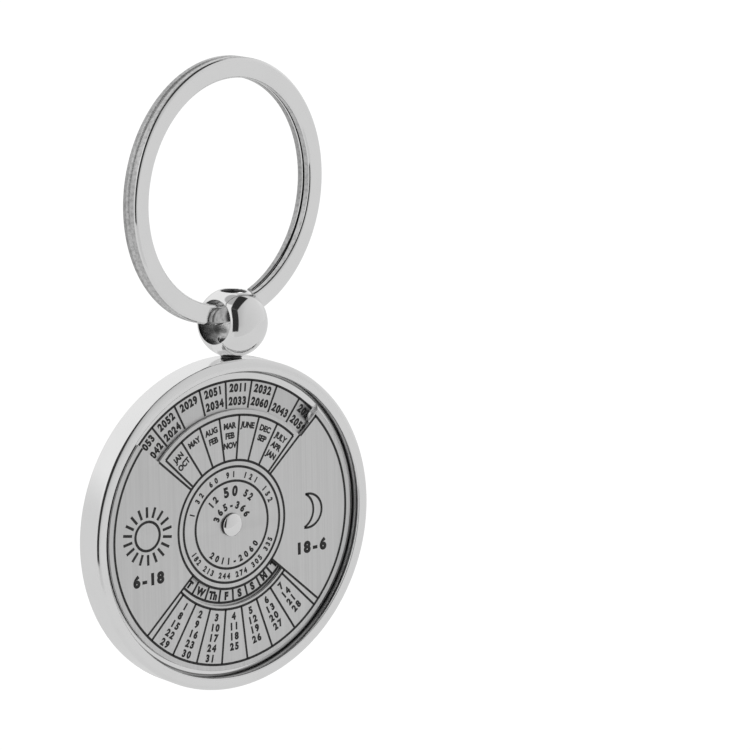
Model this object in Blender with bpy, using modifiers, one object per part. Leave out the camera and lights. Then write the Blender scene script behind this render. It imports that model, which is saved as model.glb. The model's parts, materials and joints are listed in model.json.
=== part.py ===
"""Perpetual calendar keyring: a split ring, a swivel ball and a round case with a turning calendar face.

All sizes are in metres. +Z is up, as the keyring hangs, and the face looks along -Y.
The origin is the hang point, on the inside top of the split ring.
"""
import bmesh
import bpy
from math import cos, pi, radians, sin, sqrt
from mathutils import Matrix, Vector
from mathutils.kdtree import KDTree

# Split ring: two flat coils wound from one flat wire
RING_RADIUS = 0.01593
WIRE_WIDTH = 0.00246
WIRE_THICKNESS = 0.00085
COIL_SEAM = 0.00042
RING_YAW = radians(9.47)
CROSSING_END = radians(24.0)
CROSSING_TURN = radians(14.0)
WIRE_EDGE = 0.0003
COIL_STEPS = 96

# Swivel ball, bored across for the ring and down for the pin
BALL_WALL = 0.00075
BORE_ROOM = 0.00172
BORE_RISE = 0.0005
MOUTH_DEPTH = 0.0008
MOUTH_FLARE_SHARE = 0.3
SEAT_CUT = 0.00025
TOP_HOLE_RADIUS = 0.00165
HANG_CLEARANCE = 0.0004
RING_SLIDE = 0.0018
RING_SETBACK = 0.00031

# Swivel pin and washer
PIN_RADIUS = 0.0006
PIN_HEAD_RADIUS = 0.00155
PIN_HEAD_HEIGHT = 0.0008
HEAD_SINK = 0.00015
HEAD_GAP = 0.00005
RUN_CLEARANCE = 0.00015
PRESS_CLEARANCE = 0.00005
WASHER_RADIUS = 0.0013
WASHER_THICKNESS = 0.00015
STACK_GAP = 0.00005
PIN_SETBACK = 0.00019

# Case
CASE_RADIUS = 0.0201
RIM_WALL = 0.0015
RIM_STAND = 0.0007
FLOOR_THICKNESS = 0.00207
CASE_EDGE = 0.00012
BLIND_WALL = 0.0002
END_CLEARANCE = 0.0001

# Face plate, turned a little from upright
PLATE_CLEARANCE = 0.00075
PLATE_THICKNESS = 0.0003
PLATE_TURN = radians(4.0)
NOTCH_INNER_RADIUS = 0.01395
NOTCH_HALF_ANGLE = radians(48.1)
SLOT_INNER_RADIUS = 0.00795
SLOT_OUTER_RADIUS = 0.00995
SLOT_HALF_ANGLE = radians(47.7)

# Finger tab on the right edge of the notch
TAB_WIDTH = 0.00195
TAB_LENGTH = 0.0014
TAB_LIFT = radians(38.0)
TAB_BEND_RADIUS = 0.0005
TAB_ROOT = 0.0008
TAB_ROUND = 0.0009
TAB_SKIN = 0.00001
TAB_BEND_STEPS = 5
TAB_ROUND_STEPS = 5

# Year disc behind the plate, and the friction washer in its centre hole
DISC_THICKNESS = 0.0003
DISC_HOLE_RADIUS = 0.0028
DISC_CLEARANCE = 0.00015
PLATE_GAP = 0.00015
FLOOR_GAP = 0.0001
FRICTION_CLEARANCE = 0.0002

# Centre rivet
RIVET_RADIUS = 0.0008
RIVET_HEAD_RADIUS = 0.0014
RIVET_HEAD_HEIGHT = 0.0006
RIVET_DEPTH = 0.0014
RIVET_LIP = 0.00015
RIVET_CLEARANCE = 0.0001

# How far a cutter runs past what it cuts, and how finely round shapes are made
OVERRUN = 0.0005
MERGE = 0.000001
ROUND_STEPS = 96
SMALL_STEPS = 32
BALL_STEPS = 56
DOME_STEPS = 6
SHARP_ANGLE = radians(30.0)

# Sizes that follow from the ones above
RING_INNER_RADIUS = RING_RADIUS - WIRE_WIDTH
WIRE_CENTRE_RADIUS = RING_RADIUS - WIRE_WIDTH / 2
COIL_PITCH = WIRE_THICKNESS + COIL_SEAM
BORE_RADIUS = WIRE_WIDTH / 2 + BORE_ROOM
BALL_RADIUS = BORE_RADIUS + BORE_RISE + BALL_WALL
BORE_TOP = BORE_RISE + BORE_RADIUS
BORE_FLOOR = BORE_RISE - BORE_RADIUS
SEAT_DROP = BALL_RADIUS - SEAT_CUT
MOUTH_REACH = sqrt(BALL_RADIUS ** 2 - BORE_TOP ** 2)
THROAT_REACH = sqrt(BALL_RADIUS ** 2 - BORE_FLOOR ** 2) - MOUTH_DEPTH
WIRE_SAG = RING_INNER_RADIUS - sqrt(RING_INNER_RADIUS ** 2 - (RING_SLIDE + MOUTH_REACH) ** 2)
WIRE_TOP = BORE_TOP - WIRE_SAG - HANG_CLEARANCE

# Depths in the case, counted forward from the plate's front face
RIM_FRONT = RIM_STAND
PLATE_BACK = -PLATE_THICKNESS
DISC_FRONT = PLATE_BACK - PLATE_GAP
DISC_BACK = DISC_FRONT - DISC_THICKNESS
FLOOR_FRONT = DISC_BACK - FLOOR_GAP
CASE_BACK = FLOOR_FRONT - FLOOR_THICKNESS
POCKET_RADIUS = CASE_RADIUS - RIM_WALL
PLATE_RADIUS = POCKET_RADIUS - PLATE_CLEARANCE
PIN_DEPTH = (RIM_FRONT + CASE_BACK) / 2 - PIN_SETBACK

# Places in the row frame
RING_CENTRE = Vector((0, 0, -RING_INNER_RADIUS))
RING_RIGHT = Vector((cos(RING_YAW), sin(RING_YAW), 0))
RING_FORWARD = Vector((sin(RING_YAW), -cos(RING_YAW), 0))
BORE_PLACE = RING_RIGHT * RING_SLIDE + RING_FORWARD * RING_SETBACK
BALL_CENTRE = RING_CENTRE + BORE_PLACE - Vector((0, 0, RING_INNER_RADIUS + WIRE_TOP))
STACK_HEIGHT = 2 * STACK_GAP + WASHER_THICKNESS
DIAL_CENTRE = BALL_CENTRE - Vector((0, -PIN_DEPTH, CASE_RADIUS + STACK_HEIGHT + SEAT_DROP))
FACE_FORWARD = Matrix.Rotation(radians(90.0), 4, 'X')

# Colours, with roughness and metallic
POLISHED = ((0.80, 0.80, 0.80, 1.0), 0.08, 1.0)
BRUSHED = ((0.66, 0.66, 0.66, 1.0), 0.30, 1.0)
SATIN = ((0.72, 0.72, 0.72, 1.0), 0.20, 1.0)
SPRING = ((0.45, 0.45, 0.46, 1.0), 0.35, 1.0)


def clear_scene():
    """Remove every object, so that the script can be run again."""
    for thing in list(bpy.data.objects):
        bpy.data.objects.remove(thing, do_unlink=True)


def make_collection(name):
    """Return the named collection, linked to the scene."""
    collection = bpy.data.collections.get(name)
    if collection is None:
        collection = bpy.data.collections.new(name)
        bpy.context.scene.collection.children.link(collection)
    return collection


def make_material(name, look):
    """A Principled material from a colour, a roughness and a metallic value."""
    colour, roughness, metallic = look
    material = bpy.data.materials.new(name)
    material.use_nodes = True
    shader = material.node_tree.nodes['Principled BSDF']
    shader.inputs['Base Color'].default_value = colour
    shader.inputs['Roughness'].default_value = roughness
    shader.inputs['Metallic'].default_value = metallic
    material.diffuse_color = colour
    return material


def add_object(name, mesh, place, look=None):
    """Put a mesh in the scene: a part where it has a look, and a hidden cutter where it has none."""
    thing = bpy.data.objects.new(name, mesh)
    thing.matrix_world = place
    if look is None:
        CUTTERS.objects.link(thing)
        thing.hide_render = True
        thing.display_type = 'WIRE'
    else:
        PARTS.objects.link(thing)
        thing.data.materials.append(make_material(name + '_finish', look))
    return thing


def finish_mesh(mesh, cage):
    """Write a bmesh into the mesh with smooth shading and sharp corners."""
    bmesh.ops.recalc_face_normals(cage, faces=cage.faces)
    cage.to_mesh(mesh)
    cage.free()
    mesh.shade_smooth()
    mesh.set_sharp_from_angle(angle=SHARP_ANGLE)


def turned(name, profile, steps, place, look=None, closed=True):
    """Turn a profile of (radius, height) points about the local Z axis with a Screw modifier."""
    mesh = bpy.data.meshes.new(name)
    points = [(radius, 0, height) for radius, height in profile]
    edges = [(index, index + 1) for index in range(len(points) - 1)]
    if closed:
        edges.append((len(points) - 1, 0))
    mesh.from_pydata(points, edges, [])
    thing = add_object(name, mesh, place, look)
    screw = thing.modifiers.new('Turn', 'SCREW')
    screw.steps = steps
    screw.render_steps = steps
    screw.use_merge_vertices = True
    screw.merge_threshold = MERGE
    screw.use_smooth_shade = True
    return thing


def cylinder(name, radius, bottom, top, steps, place):
    """A cylinder cutter along the local Z axis from bottom to top."""
    cage = bmesh.new()
    middle = Matrix.Translation((0, 0, (bottom + top) / 2))
    bmesh.ops.create_cone(cage, cap_ends=True, segments=steps, radius1=radius, radius2=radius,
                          depth=top - bottom, matrix=middle)
    mesh = bpy.data.meshes.new(name)
    finish_mesh(mesh, cage)
    return add_object(name, mesh, place)


def boolean(thing, other, operation='DIFFERENCE'):
    """Cut another object out of this one, or join it on."""
    cut = thing.modifiers.new(other.name, 'BOOLEAN')
    cut.operation = operation
    cut.solver = 'EXACT'
    cut.object = other


def flat_outline(name, loops, thickness):
    """A sheet from closed loops of points: a filled 2D curve, extruded and made into a mesh."""
    curve = bpy.data.curves.new(name, 'CURVE')
    curve.dimensions = '2D'
    curve.fill_mode = 'BOTH'
    curve.extrude = thickness / 2
    for loop in loops:
        spline = curve.splines.new('POLY')
        spline.points.add(len(loop) - 1)
        for point, (x, y) in zip(spline.points, loop):
            point.co = (x, y, 0, 1)
        spline.use_cyclic_u = True
    return curve_to_mesh(name, curve)


def curve_to_mesh(name, curve):
    """Make a welded mesh of a curve and remove the curve."""
    guide = bpy.data.objects.new(name + '_curve', curve)
    CUTTERS.objects.link(guide)
    graph = bpy.context.evaluated_depsgraph_get()
    mesh = bpy.data.meshes.new_from_object(guide.evaluated_get(graph))
    mesh.name = name
    bpy.data.objects.remove(guide)
    cage = bmesh.new()
    cage.from_mesh(mesh)
    bmesh.ops.remove_doubles(cage, verts=cage.verts, dist=MERGE)
    finish_mesh(mesh, cage)
    return mesh


def around(radius, angle):
    """The point at a radius and an angle, counted clockwise from the top as seen from the front."""
    return (radius * sin(angle), radius * cos(angle))


def arc(radius, start, end, steps):
    """Points along an arc, both ends included."""
    return [around(radius, start + (end - start) * index / steps) for index in range(steps + 1)]


def circle(radius, steps):
    """A closed loop of points."""
    return arc(radius, 0, 2 * pi, steps)[:-1]


def steps_for(angle):
    """How many steps an arc of this angle takes."""
    return max(2, round(ROUND_STEPS * abs(angle) / (2 * pi)))


def case_place(depth=0, turn=0):
    """Local X right, Y up and Z out of the face, at a depth before the plate's front."""
    forward = Vector((0, -depth, 0))
    return Matrix.Translation(DIAL_CENTRE + forward) @ FACE_FORWARD @ Matrix.Rotation(turn, 4, 'Z')


def coil_angle(wind):
    """The place round the ring, counted from its lowest point toward its right."""
    return CROSSING_END + wind


def coil_height(wind):
    """The wire's place between the two coils: one coil, the crossing, then the other coil."""
    begin = 2 * pi - CROSSING_TURN
    share = min(max((wind - begin) / CROSSING_TURN, 0), 1)
    return COIL_PITCH * (share * share * (3 - 2 * share) - 1 / 2)


def coil_points():
    """The centre line of the wire: two turns, less the crossing, at even steps."""
    total = 4 * pi - CROSSING_TURN
    count = round(2 * COIL_STEPS)
    points = []
    for index in range(count + 1):
        wind = total * index / count
        x, down = around(WIRE_CENTRE_RADIUS, coil_angle(wind))
        points.append((wind, Vector((x, -down, coil_height(wind)))))
    return points


def wire_section():
    """The flat wire's section with eased corners, as (across, along the ring's axis) points."""
    wide = WIRE_WIDTH / 2
    thick = WIRE_THICKNESS / 2
    ease = WIRE_EDGE
    corner = [(wide - ease, thick), (wide, thick - ease)]
    mirrored = [(x, -y) for x, y in reversed(corner)]
    right = corner + mirrored
    left = [(-x, y) for x, y in reversed(right)]
    return right + left


def least_coil_gap(points):
    """The least distance between the wire's surface points more than half a turn apart."""
    section = wire_section()
    tree = KDTree(len(points) * len(section))
    cloud = []
    for wind, centre in points:
        outward = Vector((centre.x, centre.y, 0)).normalized()
        for across, along in section:
            spot = centre + outward * across + Vector((0, 0, along))
            tree.insert(spot, len(cloud))
            cloud.append((wind, spot))
    tree.balance()
    reach = 2 * COIL_PITCH
    gaps = [distance for wind, spot in cloud for _, index, distance in tree.find_range(spot, reach)
            if abs(cloud[index][0] - wind) > pi]
    return min(gaps)


def make_split_ring():
    """One unbroken flat wire, wound twice round, with its crossing inside the ball."""
    profile = bpy.data.curves.new('wire_section', 'CURVE')
    profile.dimensions = '2D'
    outline = profile.splines.new('POLY')
    section = wire_section()
    outline.points.add(len(section) - 1)
    for point, (across, along) in zip(outline.points, section):
        point.co = (across, along, 0, 1)
    outline.use_cyclic_u = True
    guide = add_object('wire_section', profile, Matrix.Identity(4))

    points = coil_points()
    curve = bpy.data.curves.new('coil', 'CURVE')
    curve.dimensions = '3D'
    curve.twist_mode = 'Z_UP'
    curve.bevel_mode = 'OBJECT'
    curve.bevel_object = guide
    curve.use_fill_caps = True
    path = curve.splines.new('POLY')
    path.points.add(len(points) - 1)
    for point, (_, centre) in zip(path.points, points):
        point.co = (*centre, 1)
    mesh = curve_to_mesh('split_ring', curve)
    upright = Matrix.Rotation(RING_YAW, 4, 'Z') @ FACE_FORWARD
    ring = add_object('split_ring', mesh, Matrix.Translation(RING_CENTRE) @ upright, POLISHED)
    print('least gap between the coils, mm:', round(1000 * least_coil_gap(points), 3))
    return ring


def make_swivel_ball():
    """The ball: a sphere with a flared cross bore, a flat seat, and a hole right down for the pin and its head."""
    cage = bmesh.new()
    bmesh.ops.create_uvsphere(cage, u_segments=BALL_STEPS, v_segments=BALL_STEPS // 2, radius=BALL_RADIUS)
    mesh = bpy.data.meshes.new('swivel_ball')
    finish_mesh(mesh, cage)
    turn = Matrix.Rotation(RING_YAW, 4, 'Z')
    ball = add_object('swivel_ball', mesh, Matrix.Translation(BALL_CENTRE) @ turn, POLISHED)

    half = BALL_RADIUS + OVERRUN
    flare = BORE_RADIUS + (half - THROAT_REACH) * MOUTH_FLARE_SHARE
    profile = [(0, half), (flare, half), (BORE_RADIUS, THROAT_REACH), (BORE_RADIUS, -THROAT_REACH),
               (flare, -half), (0, -half)]
    along_ring = Matrix.Rotation(radians(90.0), 4, 'Y')
    bore_place = Matrix.Translation(BALL_CENTRE + Vector((0, 0, BORE_RISE))) @ turn @ along_ring
    bore = turned('ball_bore', profile, ROUND_STEPS // 2, bore_place, closed=False)
    boolean(ball, bore)

    upright = Matrix.Translation(BALL_CENTRE)
    seat = cylinder('ball_seat', half, -half, -SEAT_DROP, SMALL_STEPS, upright)
    boolean(ball, seat)
    well_radius = PIN_HEAD_RADIUS + RUN_CLEARANCE
    well = cylinder('head_well', well_radius, BORE_FLOOR - HEAD_SINK, BORE_RISE, SMALL_STEPS, upright)
    boolean(ball, well)
    hole = cylinder('pin_passage', PIN_RADIUS + RUN_CLEARANCE, -half, BORE_RISE, SMALL_STEPS, upright)
    boolean(ball, hole)
    top_hole = cylinder('top_hole', TOP_HOLE_RADIUS, BORE_RISE, half, SMALL_STEPS, upright)
    boolean(ball, top_hole)
    return ball


def dome(radius, bottom, height, lip):
    """Profile points of a domed head, from the top of its axis down to its lower edge."""
    crown = height - lip
    points = []
    for index in range(DOME_STEPS):
        angle = pi / 2 * index / DOME_STEPS
        points.append((radius * sin(angle), bottom + lip + crown * cos(angle)))
    points.append((radius, bottom + lip))
    points.append((radius, bottom))
    return points


def make_swivel_pin():
    """The pin, its head in the ball's bore and its end in the top of the case."""
    seat = BORE_FLOOR - HEAD_SINK + HEAD_GAP
    hole_end = SEAT_DROP + STACK_HEIGHT + RIM_WALL - BLIND_WALL
    end = END_CLEARANCE - hole_end
    profile = dome(PIN_HEAD_RADIUS, seat, PIN_HEAD_HEIGHT, PIN_HEAD_HEIGHT / 3)
    profile += [(PIN_RADIUS, seat), (PIN_RADIUS, end), (0, end)]
    return turned('swivel_pin', profile, SMALL_STEPS, Matrix.Translation(BALL_CENTRE), POLISHED, closed=False)


def make_swivel_washer():
    """The flat washer between the ball's seat and the case."""
    top = -SEAT_DROP - STACK_GAP
    bottom = top - WASHER_THICKNESS
    inner = PIN_RADIUS + RUN_CLEARANCE
    profile = [(inner, top), (WASHER_RADIUS, top), (WASHER_RADIUS, bottom), (inner, bottom)]
    return turned('swivel_washer', profile, SMALL_STEPS, Matrix.Translation(BALL_CENTRE), SATIN)


def make_case_tray():
    """The round case with its raised rim, bored at the top for the pin and at the centre for the rivet."""
    edge = CASE_EDGE
    profile = [(0, FLOOR_FRONT), (POCKET_RADIUS, FLOOR_FRONT), (POCKET_RADIUS, RIM_FRONT - edge),
               (POCKET_RADIUS + edge, RIM_FRONT), (CASE_RADIUS - edge, RIM_FRONT),
               (CASE_RADIUS, RIM_FRONT - edge), (CASE_RADIUS, CASE_BACK + edge),
               (CASE_RADIUS - edge, CASE_BACK), (0, CASE_BACK)]
    tray = turned('case_tray', profile, ROUND_STEPS, case_place(), POLISHED, closed=False)
    pin_place = Matrix.Translation(DIAL_CENTRE + Vector((0, -PIN_DEPTH, 0)))
    pin_hole = cylinder('case_pin_hole', PIN_RADIUS + PRESS_CLEARANCE, POCKET_RADIUS + BLIND_WALL,
                        CASE_RADIUS + OVERRUN, SMALL_STEPS, pin_place)
    boolean(tray, pin_hole)
    depth = FLOOR_FRONT - RIVET_DEPTH - END_CLEARANCE
    rivet_hole = cylinder('case_rivet_hole', RIVET_RADIUS + PRESS_CLEARANCE, depth,
                          FLOOR_FRONT + OVERRUN, SMALL_STEPS, case_place())
    boolean(tray, rivet_hole)
    return tray


def make_year_disc():
    """The disc with the years and weekdays, fixed in the case behind the face."""
    outer = POCKET_RADIUS - DISC_CLEARANCE
    profile = [(DISC_HOLE_RADIUS, DISC_FRONT), (outer, DISC_FRONT), (outer, DISC_BACK), (DISC_HOLE_RADIUS, DISC_BACK)]
    return turned('year_disc', profile, ROUND_STEPS, case_place(), SATIN)


def make_friction_washer():
    """The spring washer round the rivet, between the face plate and the case floor."""
    inner = RIVET_RADIUS + FRICTION_CLEARANCE
    outer = DISC_HOLE_RADIUS - FRICTION_CLEARANCE
    top = PLATE_BACK - FLOOR_GAP
    bottom = FLOOR_FRONT + FLOOR_GAP
    profile = [(inner, top), (outer, top), (outer, bottom), (inner, bottom)]
    return turned('friction_washer', profile, SMALL_STEPS, case_place(), SPRING)


def make_centre_rivet():
    """The rivet with a domed head, which holds the face plate to the case."""
    end = FLOOR_FRONT - RIVET_DEPTH
    profile = dome(RIVET_HEAD_RADIUS, RIVET_CLEARANCE, RIVET_HEAD_HEIGHT, RIVET_LIP)
    profile += [(RIVET_RADIUS, RIVET_CLEARANCE), (RIVET_RADIUS, end), (0, end)]
    return turned('centre_rivet', profile, SMALL_STEPS, case_place(), POLISHED, closed=False)


def plate_loops():
    """The face plate's outline with its notch, then the weekday slot and the rivet hole."""
    notch = NOTCH_HALF_ANGLE
    rest = 2 * pi - notch
    outline = arc(PLATE_RADIUS, notch, rest, steps_for(rest - notch))
    outline += arc(NOTCH_INNER_RADIUS, -notch, notch, steps_for(2 * notch))
    low = pi - SLOT_HALF_ANGLE
    high = pi + SLOT_HALF_ANGLE
    slot = arc(SLOT_OUTER_RADIUS, low, high, steps_for(high - low))
    slot += arc(SLOT_INNER_RADIUS, high, low, steps_for(high - low))
    return [outline, slot, circle(RIVET_RADIUS + RIVET_CLEARANCE, SMALL_STEPS)]


def tab_profile():
    """The tab's side view: (distance from the notch edge, height) points round its bent sheet."""
    half = PLATE_THICKNESS / 2 - TAB_SKIN
    middle = [(-TAB_ROOT, 0, 0)]
    for index in range(TAB_BEND_STEPS + 1):
        angle = TAB_LIFT * index / TAB_BEND_STEPS
        middle.append((TAB_BEND_RADIUS * sin(angle), TAB_BEND_RADIUS * (1 - cos(angle)), angle))
    run = TAB_LENGTH - TAB_BEND_RADIUS * TAB_LIFT
    last = middle[-1]
    middle.append((last[0] + run * cos(TAB_LIFT), last[1] + run * sin(TAB_LIFT), TAB_LIFT))
    upper = [(x - half * sin(angle), y + half * cos(angle)) for x, y, angle in middle]
    lower = [(x + half * sin(angle), y - half * cos(angle)) for x, y, angle in middle]
    return upper + lower[::-1]


def make_finger_tab():
    """The bent tab as a solid to be joined to the plate, its inner free corner rounded."""
    mesh = flat_outline('finger_tab', [tab_profile()], TAB_WIDTH)
    cage = bmesh.new()
    cage.from_mesh(mesh)
    free_end = max(vert.co.x for vert in cage.verts) - PLATE_THICKNESS
    corner = [edge for edge in cage.edges
              if all(vert.co.x > free_end and vert.co.z > 0 for vert in edge.verts)]
    bmesh.ops.bevel(cage, geom=corner, offset=TAB_ROUND, segments=TAB_ROUND_STEPS, affect='EDGES')
    finish_mesh(mesh, cage)
    return mesh


def make_face_plate():
    """The turning face: a sheet with a year notch, a weekday slot and the lifted finger tab."""
    mesh = flat_outline('face_plate', plate_loops(), PLATE_THICKNESS)
    middle = -PLATE_THICKNESS / 2
    mesh.transform(Matrix.Translation((0, 0, middle)))
    place = case_place(turn=PLATE_TURN)
    plate = add_object('face_plate', mesh, place, BRUSHED)

    # The tab's side view lies across the notch edge, and its width lies along that edge
    angle = NOTCH_HALF_ANGLE
    toward_notch = Vector((-cos(angle), sin(angle), 0))
    inward = Vector((-sin(angle), -cos(angle), 0))
    outward = Vector((0, 0, 1))
    basis = Matrix((toward_notch, outward, inward)).transposed().to_4x4()
    x, y = around(PLATE_RADIUS - TAB_WIDTH / 2, angle)
    tab_place = place @ Matrix.Translation((x, y, middle)) @ basis
    tab = add_object('finger_tab', make_finger_tab(), tab_place)
    boolean(plate, tab, 'UNION')
    return plate


clear_scene()
PARTS = make_collection('perpetual_calendar_keyring')
CUTTERS = make_collection('cutters')
make_split_ring()
make_swivel_ball()
make_swivel_pin()
make_swivel_washer()
make_case_tray()
make_year_disc()
make_friction_washer()
make_centre_rivet()
make_face_plate()
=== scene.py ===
# %% [markdown]
# # A perpetual calendar keyring in polished and brushed metal
# The CAD model is already the right size and in the right place. This notebook dresses it: each piece that
# shows is made again with eased edges, the calendar's marks are laid on as thin ink, and every surface gets a
# finish made of shader nodes. Distances are in metres, and the keyring hangs along Z with its face toward -Y.

import json
from math import atan2, cos, pi, radians, sin, sqrt

import bmesh
import bpy
from mathutils import Matrix, Quaternion, Vector


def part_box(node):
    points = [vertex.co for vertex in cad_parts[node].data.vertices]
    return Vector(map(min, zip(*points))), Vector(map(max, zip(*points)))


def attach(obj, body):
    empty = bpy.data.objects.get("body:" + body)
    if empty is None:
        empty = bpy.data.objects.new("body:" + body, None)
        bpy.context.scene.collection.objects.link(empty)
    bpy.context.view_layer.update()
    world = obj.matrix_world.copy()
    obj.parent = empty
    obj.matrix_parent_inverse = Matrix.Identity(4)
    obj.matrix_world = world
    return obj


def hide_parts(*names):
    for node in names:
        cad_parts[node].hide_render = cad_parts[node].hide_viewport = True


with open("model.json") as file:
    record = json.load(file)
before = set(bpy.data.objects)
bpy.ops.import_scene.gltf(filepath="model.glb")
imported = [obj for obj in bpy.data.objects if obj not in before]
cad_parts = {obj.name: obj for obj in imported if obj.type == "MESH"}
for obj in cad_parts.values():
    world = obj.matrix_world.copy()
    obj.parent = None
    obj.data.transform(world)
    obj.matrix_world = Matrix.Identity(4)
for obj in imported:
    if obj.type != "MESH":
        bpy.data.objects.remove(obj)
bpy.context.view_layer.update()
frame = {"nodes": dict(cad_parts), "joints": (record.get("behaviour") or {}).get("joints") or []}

# %% [markdown]
# ## Sizes read from the frame
# The joints say where the ball and the dial are, and the boxes of the CAD nodes say how large each piece is.
# Reading them here means that a piece made below lands on the piece that it stands for.

# %% Read the main sizes
MM = 0.001
joints = {joint['name']: joint for joint in frame['joints']}
ring_low, ring_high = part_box('split_ring')
ball_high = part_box('swivel_ball')[1]
case_low, case_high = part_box('case_tray')
plate_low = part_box('face_plate')[0]
disc_low, disc_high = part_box('year_disc')
pin_low, pin_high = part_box('swivel_pin')
washer_low, washer_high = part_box('swivel_washer')
rivet_low, rivet_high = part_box('centre_rivet')

ring_right = Vector(joints['ball_tilt']['axis'])
bore_centre = Vector(joints['ball_tilt']['pos_m'])
ball_centre = Vector(joints['case_swivel']['pos_m'])
dial_centre = Vector(joints['dial_turn']['pos_m'])

ring_radius = (ring_high.z - ring_low.z) / 2
ring_centre = Vector((0, 0, (ring_high.z + ring_low.z) / 2))
wire_width = ring_high.z
ball_radius = ball_high.y - ball_centre.y
case_radius = (case_high.x - case_low.x) / 2
rim_front = dial_centre.y - case_low.y
case_back = dial_centre.y - case_high.y
plate_radius = dial_centre.z - plate_low.z
disc_radius = (disc_high.x - disc_low.x) / 2
disc_front = dial_centre.y - disc_low.y
disc_back = dial_centre.y - disc_high.y
print('ring, ball, case and plate radii, mm:',
      [round(size / MM, 2) for size in (ring_radius, ball_radius, case_radius, plate_radius)])

# %% [markdown]
# ## Shader sums as plain sums
# A finish is easiest to read as arithmetic: brightness times streaks, one minus a mask. The class `Sum` wraps
# a node's output so that `+`, `-` and `*` add Math nodes. The reflected forms make `1 - mask` work too.

# %% Sums of node values
class Sum:
    """A value in a node tree that can be added, subtracted and multiplied."""

    def __init__(self, finish, socket):
        self.finish = finish
        self.socket = socket

    def math(self, operation, *values):
        return self.finish.node('ShaderNodeMath', {'operation': operation}, values)

    def __add__(self, other):
        return self.math('ADD', self, other)

    def __sub__(self, other):
        return self.math('SUBTRACT', self, other)

    def __rsub__(self, other):
        return self.math('SUBTRACT', other, self)

    def __mul__(self, other):
        return self.math('MULTIPLY', self, other)

    __radd__ = __add__
    __rmul__ = __mul__

# %% [markdown]
# ## One owner for a node tree
# `Finish` owns a node tree and has one method that adds any node. Settings are made before the sockets are
# filled, because some nodes change theirs. Noise, ramps and mixes are needed in every finish, so they have
# short forms, and `coat` fills the three sockets of the shader that vary over a surface.

# %% Node trees
class Finish:
    """A node tree, with one way to add a node to it."""

    def __init__(self, tree):
        self.tree = tree

    def node(self, kind, settings=None, inputs=(), output=0):
        """Add a node: its type, its settings, then the values or links of its sockets."""
        made = self.tree.nodes.new(kind)
        for name, value in (settings or {}).items():
            if name == 'stops':
                self.set_stops(made.color_ramp, value)
            else:
                setattr(made, name, value)
        pairs = inputs.items() if isinstance(inputs, dict) else enumerate(inputs)
        for name, value in pairs:
            self.fill(made.inputs[name], value)
        return Sum(self, made.outputs[output])

    def fill(self, socket, value):
        """Link a socket to a sum, or set its own value."""
        if isinstance(value, Sum):
            self.tree.links.new(value.socket, socket)
        else:
            socket.default_value = value

    def set_stops(self, ramp, stops):
        """Give a colour ramp its stops, each a place and a grey."""
        while len(ramp.elements) < len(stops):
            ramp.elements.new(0.5)
        for element, (place, grey) in zip(ramp.elements, stops):
            element.position = place
            element.color = (grey, grey, grey, 1)

    def noise(self, place, scale, detail, roughness=0.5):
        """Noise of a scale, with a number of finer layers."""
        return self.node('ShaderNodeTexNoise', {},
                         {'Vector': place, 'Scale': scale, 'Detail': detail, 'Roughness': roughness})

    def ramp(self, value, stops):
        """Greys that follow a value."""
        return self.node('ShaderNodeValToRGB', {'stops': stops}, [value])

    def blend(self, share, one, two, way='MIX'):
        """Two colours mixed by a share."""
        settings = {'data_type': 'RGBA', 'blend_type': way}
        return self.node('ShaderNodeMix', settings, {0: share, 6: one, 7: two}, 2)

    def coat(self, shader, colour, roughness, relief=None):
        """Fill a shader's colour and roughness, and its normal from a relief's strength, height and noise."""
        self.fill(shader.inputs['Base Color'], colour)
        self.fill(shader.inputs['Roughness'], roughness)
        if relief:
            sockets = dict(zip(('Strength', 'Distance', 'Height'), relief))
            self.fill(shader.inputs['Normal'], self.node('ShaderNodeBump', {}, sockets))


def principled(name, constants):
    """A new material with a Principled shader whose constant sockets are set."""
    material = bpy.data.materials.new(name)
    material.use_nodes = True
    shader = material.node_tree.nodes['Principled BSDF']
    for socket, value in constants.items():
        shader.inputs[socket].default_value = value
    return material, Finish(material.node_tree), shader


def grey(value):
    """A neutral colour."""
    return (value, value, value, 1.0)

# %% [markdown]
# ## Finish: polished metal
# The ring, the ball and the case are plated and polished. Real plating is never a perfect mirror: handling
# leaves faint smudges, which show as slow changes of roughness, and polishing leaves a very low waviness. Two
# noises at different scales give both, and the smudges also dull the colour a little. The same finish, darker
# and rougher, serves for the collar under the ball, for the painted shade in the ring's seam, for the turned
# pocket of the case and for the spring washer. Its dark tones paint shade: under the ball, in the seam, in
# the pocket, in the hole in the ball's top, round the rivet's foot and on the year disc's outer strip.

# %% Polished metal
SMUDGE_SCALE = 260.0
SMUDGE_STOPS = [(0.40, 0.0), (0.72, 1.0)]
SMUDGE_DULLING = 0.965
WAVE_SCALE = 90.0
WAVE_STRENGTH = 0.25


def polished_metal(name, tone, roughness, smudge, wave):
    """Plated metal: its tone, its least roughness, how much smudges add, and the height of its waviness."""
    material, finish, shader = principled(name, {'Metallic': 1.0})
    place = finish.node('ShaderNodeTexCoord', output='Object')
    film = finish.noise(place, SMUDGE_SCALE, 4.0, 0.6)
    broad = finish.noise(place, WAVE_SCALE, 2.0)
    clouds = finish.ramp(film, SMUDGE_STOPS)
    tint = finish.blend(clouds * 0.5, grey(tone), grey(tone * SMUDGE_DULLING))
    finish.coat(shader, tint, clouds * smudge + roughness, (WAVE_STRENGTH, wave, broad))
    return material


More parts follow.
